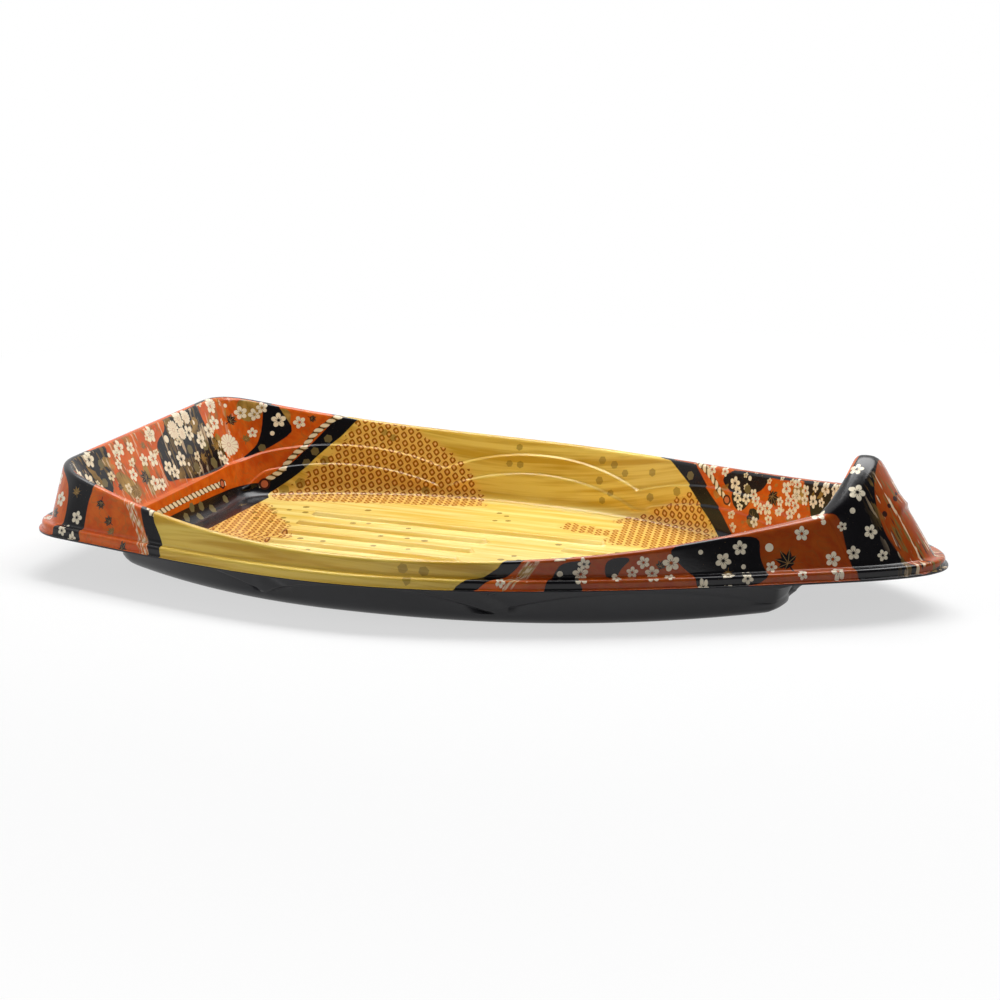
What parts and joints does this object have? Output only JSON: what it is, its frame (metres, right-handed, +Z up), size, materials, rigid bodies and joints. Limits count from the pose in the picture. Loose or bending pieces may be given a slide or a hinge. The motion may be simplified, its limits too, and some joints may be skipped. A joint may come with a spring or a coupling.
{
  "type": "sushi boat tray",
  "caption": "Boat-shaped food tray with a flat transom, a tall pointed bow, a ribbed floor, a folded outer skirt and a printed upper face.",
  "frame": {"origin": "on the table, under the middle of the brim's length and width", "axes": "+X along the tray towards the bow, +Y to one side, +Z up"},
  "size_m": [0.3, 0.1828, 0.0492],
  "materials": {
    "black_sheet": "satin black formed polystyrene",
    "printed_film": "gloss printed decor film, gold with orange and black"
  },
  "bodies": {
    "root": {"tray_shell": "black_sheet", "printed_film": "printed_film"}
  },
  "joints": []
}
